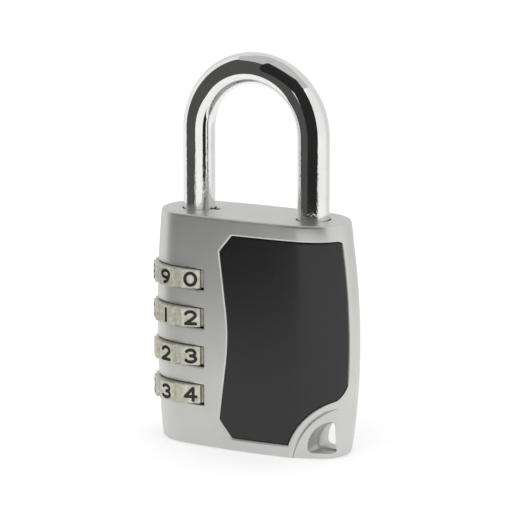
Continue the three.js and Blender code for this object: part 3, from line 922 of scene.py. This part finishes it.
def bow(x, z, wide, high, start, end, steps=24):
    """Part of an oval, in degrees, in a digit's own space from -1 to 1."""
    angles = [math.radians(start + (end - start) * i / steps) for i in range(steps + 1)]
    return [(x + wide * math.cos(a), z + high * math.sin(a)) for a in angles]


def oval(x, z, wide, high):
    """A whole oval: a stroke that ends where it starts."""
    return bow(x, z, wide, high, 90, 450, 40)


def turned_round(strokes):
    return [[(-x, -z) for x, z in stroke] for stroke in strokes]


SIX = [oval(0, -0.42, 0.9, 0.58), bow(0.75, -0.42, 1.65, 1.42, 180, 104)]
DIGITS = [
    [oval(0, 0, 1, 1)],
    [[(0, 1), (0, 0), (0, -1)]],
    [bow(0, 0.42, 0.9, 0.58, 165, -28) + [(0.1, -0.4), (-0.9, -1)], [(-0.9, -1), (0, -1), (0.95, -1)]],
    [bow(0, 0.5, 0.82, 0.5, 155, -90), bow(0, -0.48, 0.95, 0.52, 90, -155)],
    [[(0.45, 1), (0.45, 0), (0.45, -1)], [(0.4, 1), (-0.3, 0.3), (-1, -0.4)],
     [(-1, -0.4), (0, -0.4), (1, -0.4)]],
    [[(0.8, 1), (0, 1), (-0.7, 1)], [(-0.7, 1), (-0.76, 0.5), (-0.82, 0)],
     bow(0, -0.38, 0.95, 0.62, 150, -155)],
    SIX,
    [[(-0.9, 1), (0, 1), (0.9, 1)], [(0.9, 1), (0.25, 0), (-0.35, -1)]],
    [oval(0, 0.52, 0.76, 0.48), oval(0, -0.46, 0.93, 0.54)],
    turned_round(SIX),
]


def stroke_cutter(stroke, angle):
    """Engraves one stroke into the flat at this angle from the front."""
    out = Vector((math.sin(angle), -math.cos(angle), 0))
    right = Vector((math.cos(angle), math.sin(angle), 0))
    points = [out * FLAT_RADIUS + right * x * DIGIT_HALF_WIDTH + Vector((0, 0, z * DIGIT_HALF_HEIGHT))
              for x, z in stroke]
    half = STROKE / 2
    section = [(half, ENGRAVED), (-half, ENGRAVED), (-half, -0.4 * ENGRAVED), (-0.8 * half, -ENGRAVED),
               (0.8 * half, -ENGRAVED), (half, -0.4 * ENGRAVED)]
    if (points[0] - points[-1]).length < 1e-4:
        return sweep([(point, out) for point in points[:-1]], section)
    cap_steps = 4
    turns = [math.pi / 2 * (1 - (step + 0.15) / cap_steps) for step in range(cap_steps)]
    first, last = (points[0] - points[1]).normalized(), (points[-1] - points[-2]).normalized()
    start = [points[0] + first * STROKE / 2 * math.sin(turn) for turn in turns]
    end = [points[-1] + last * STROKE / 2 * math.sin(turn) for turn in reversed(turns)]
    taper = [math.cos(turn) for turn in turns]
    scales = taper + [1.0] * len(points) + taper[::-1]
    return sweep([(point, out) for point in start + points + end], section, closed=False, scales=scales)


def dial_outline(inset):
    """Ten flats with eased corners and a flat-bottomed groove between neighbours, drawn in by an inset."""
    corner = math.hypot(FLAT_RADIUS, FLAT_WIDTH / 2)
    half_flat = math.atan(FLAT_WIDTH / 2 / FLAT_RADIUS)
    ease, outer_drop, inner_drop = 0.012, 0.05, 0.03
    step = 2 * math.pi / NUMBERS
    polar = []
    for number in range(NUMBERS):
        middle = number * step
        polar += [(corner - outer_drop, middle - half_flat - ease),
                  (corner - inner_drop, middle - half_flat + ease),
                  (corner - inner_drop, middle + half_flat - ease),
                  (corner - outer_drop, middle + half_flat + ease)]
        polar += [(GROOVE_RADIUS, middle + (step - GROOVE_FLOOR) / 2),
                  (GROOVE_RADIUS, middle + (step + GROOVE_FLOOR) / 2)]
    return [((radius - inset) * math.cos(a), (radius - inset) * math.sin(a)) for radius, a in polar]


def dial_bore():
    """The bore with ten notches for the code sleeve's tooth."""
    notch = math.asin(KEY_WIDTH / 2 / SLEEVE_BORE)
    step = 2 * math.pi / NUMBERS
    polar = []
    for number in range(NUMBERS):
        middle = number * step
        polar += [(SLEEVE_BORE, middle - notch), (KEY_REACH, middle - notch * 0.9)]
        polar += [(KEY_REACH, middle + notch * 0.9), (SLEEVE_BORE, middle + notch)]
        polar.append((SLEEVE_BORE, middle + step / 2))
    return [(radius * math.cos(a), radius * math.sin(a)) for radius, a in polar]


def upright(outline, levels):
    return loft([[Vector((x, y, z)) for x, y in outline(inset)] for z, inset in levels])


def dial_mesh():
    """A dial about its own axis, with its first flat at angle 0 from +X, holding number 0."""
    half = DIAL_HEIGHT / 2
    bevel = 0.2
    levels = [(-half, bevel), (-half + bevel, 0), (half - bevel, 0), (half, bevel)]
    dial = make("dial", upright(dial_outline, levels), NICKEL)
    bore = upright(lambda inset: dial_bore(), [(-half - 1, 0), (half + 1, 0)])
    tools = [make("dial_bore", bore, NICKEL)]
    most = max(len(strokes) for strokes in DIGITS)
    for layer in range(most):
        cutters = []
        for number, strokes in enumerate(DIGITS):
            if layer < len(strokes):
                angle = 2 * math.pi * number / NUMBERS + math.pi / 2
                cutters.append(stroke_cutter(strokes[layer], angle))
        tools.append(make("strokes", joined(cutters), FILL))
    combine(dial, tools)
    dial.data.transform(Matrix.Scale(MM, 4))
    return dial


def number_dials():
    """Four dials, each turned so that the number it shows is on the first flat."""
    pattern = dial_mesh()
    for number in DIALS:
        dial = bpy.data.objects.new(f"number_ring_{number}", pattern.data.copy())
        bpy.context.scene.collection.objects.link(dial)
        turn = FIRST_FLAT - math.pi / 2 - 2 * math.pi * SHOWN[number] / NUMBERS
        spot = Matrix.Translation(Vector((-LEG_X, 0, DIAL_Z[number])) * MM)
        dial.data.transform(spot @ Matrix.Rotation(turn, 4, "Z"))
        finish_edges(dial, 25.0)
        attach(dial, f"dial_{number}")
        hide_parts(f"number_dial_{number}")
    bpy.data.objects.remove(pattern)


# ---- The plug in the base ----


def bottom_plug():
    top = node_box("bottom_plug")[1].z
    bevel = 0.3
    levels = [(PLUG_RADIUS - bevel, PLUG_SUNK), (PLUG_RADIUS, PLUG_SUNK + bevel),
              (PLUG_RADIUS, PLUG_FLANGE_TOP), (PLUG_NECK, PLUG_FLANGE_TOP),
              (PLUG_NECK, top - bevel), (PLUG_NECK - bevel, top)]
    plug = make("base_plug", moved(turned(levels), HEEL), ZINC)
    pocket = moved(rod(PLUG_POCKET, PLUG_POCKET_FLOOR, top + 1), HEEL)
    pin_hole = moved(cross_rod(PLUG_PIN_HOLE, PLUG_PIN_START - GAP, FAR, 0, PLUG_PIN_Z), HEEL)
    combine(plug, [make("pocket", pocket, ZINC), make("pin_hole", pin_hole, ZINC)])
    return place(plug, "housing", ["bottom_plug"])


# ---- CAD pieces that stay as they are ----


def dress_inner_pieces():
    finishes = {
        "spindle": STEEL, "spindle_pin": STEEL, "plug_pin": STEEL,
        "strip_screw_1": STEEL, "strip_screw_2": STEEL,
        "retaining_clip": WIRE, "lift_spring": WIRE, "reset_spring": WIRE, "spring_strip": WIRE,
    }
    for number in DIALS:
        finishes[f"code_sleeve_{number}"] = BRASS
        finishes[f"detent_ball_{number}"] = STEEL
        finishes[f"detent_spring_{number}"] = WIRE
    for name, material in finishes.items():
        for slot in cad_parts[name].material_slots:
            slot.material = material


# ---- Camera, floor and light ----


def aim(item, location, target):
    item.location = location
    item.rotation_euler = (Vector(target) - Vector(location)).to_track_quat("-Z", "Y").to_euler()


def add_camera():
    azimuth, elevation, distance = math.radians(29.1), math.radians(11.9), 0.85
    target = Vector((0, 0, 0.048))
    back = Vector((math.sin(azimuth) * math.cos(elevation), -math.cos(azimuth) * math.cos(elevation),
                   math.sin(elevation)))
    data = bpy.data.cameras.new("camera")
    data.sensor_width = 36.0
    data.lens = 239.0
    camera = bpy.data.objects.new("camera", data)
    bpy.context.scene.collection.objects.link(camera)
    aim(camera, target + back * distance, target)
    bpy.context.scene.camera = camera


def stage_material(name, colour, glow):
    """A plain matt material that also gives off some light."""
    material = bpy.data.materials.new(name)
    material.use_nodes = True
    surface = material.node_tree.nodes["Principled BSDF"]
    surface.inputs["Base Color"].default_value = colour
    surface.inputs["Roughness"].default_value = 1.0
    surface.inputs["Specular IOR Level"].default_value = 0.0
    surface.inputs["Emission Color"].default_value = (1.0, 1.0, 1.0, 1.0)
    surface.inputs["Emission Strength"].default_value = glow
    return material


def level_square(side, height):
    """The corners of a level square, reaching this far each way from the middle."""
    return [(x * side, y * side, height) for x, y in ((-1, -1), (1, -1), (1, 1), (-1, 1))]


def add_floor():
    mesh = bpy.data.meshes.new("floor")
    mesh.from_pydata(level_square(4.0, -0.0001), [], [(0, 1, 2, 3)])
    mesh.materials.append(stage_material("pale_floor", (0.55, 0.55, 0.55, 1.0), 0.46))
    floor = bpy.data.objects.new("floor", mesh)
    bpy.context.scene.collection.objects.link(floor)


def add_flag(name, centre_x, radius, azimuths, heights, glow):
    """A curved card for reflections. Azimuths are from the front towards the right."""
    steps = 24
    points = []
    for step in range(steps + 1):
        angle = math.radians(azimuths[0] + (azimuths[1] - azimuths[0]) * step / steps)
        for height in heights:
            points.append((centre_x + radius * math.sin(angle), -radius * math.cos(angle), height))
    add_card(name, points, [(2 * i, 2 * i + 2, 2 * i + 3, 2 * i + 1) for i in range(steps)], glow)


def add_card(name, points, faces, glow):
    """A stage piece that is left out of everything but reflections."""
    mesh = bpy.data.meshes.new(name)
    mesh.from_pydata(points, [], faces)
    mesh.materials.append(stage_material(name, (0.0, 0.0, 0.0, 1.0), glow))
    flag = bpy.data.objects.new(name, mesh)
    flag.visible_camera = False
    flag.visible_diffuse = False
    flag.visible_shadow = False
    bpy.context.scene.collection.objects.link(flag)


def add_light(name, location, size, power):
    data = bpy.data.lights.new(name, "AREA")
    data.size = size
    data.energy = power
    light = bpy.data.objects.new(name, data)
    bpy.context.scene.collection.objects.link(light)
    aim(light, location, (0, 0, 0.04))


def add_light_and_stage():
    world = bpy.data.worlds.new("studio")
    bpy.context.scene.world = world
    world.use_nodes = True
    background = world.node_tree.nodes["Background"]
    background.inputs["Color"].default_value = (1.0, 1.0, 1.0, 1.0)
    background.inputs["Strength"].default_value = 1.0
    bpy.context.scene.view_settings.view_transform = "Standard"
    add_floor()
    add_flag("grey_flag", 0.0, 0.15, (-77, -5), (0.0, 0.257), 0.09)
    add_flag("black_flag", LEG_X * MM, 0.022, (-13, 55), (0.056, 0.118), 0.025)
    add_flag("upper_black_flag", LEG_X * MM, 0.034, (-42, 55), (0.096, 0.16), 0.025)
    add_flag("rear_flag", 0.0, 0.25, (125, 250), (0.0, 0.5), 0.85)
    add_card("ceiling_flag", level_square(0.35, 0.5), [(0, 1, 2, 3)], 0.6)
    add_light("overhead", (0.1, -0.2, 0.9), 1.1, 2.0)


# ---- The padlock ----

add_camera()
casting()
cover_panel("front_panel", FRONT_RECESS)
cover_panel("rear_panel", REAR_RECESS)
shackle()
number_dials()
bottom_plug()
dress_inner_pieces()
add_light_and_stage()
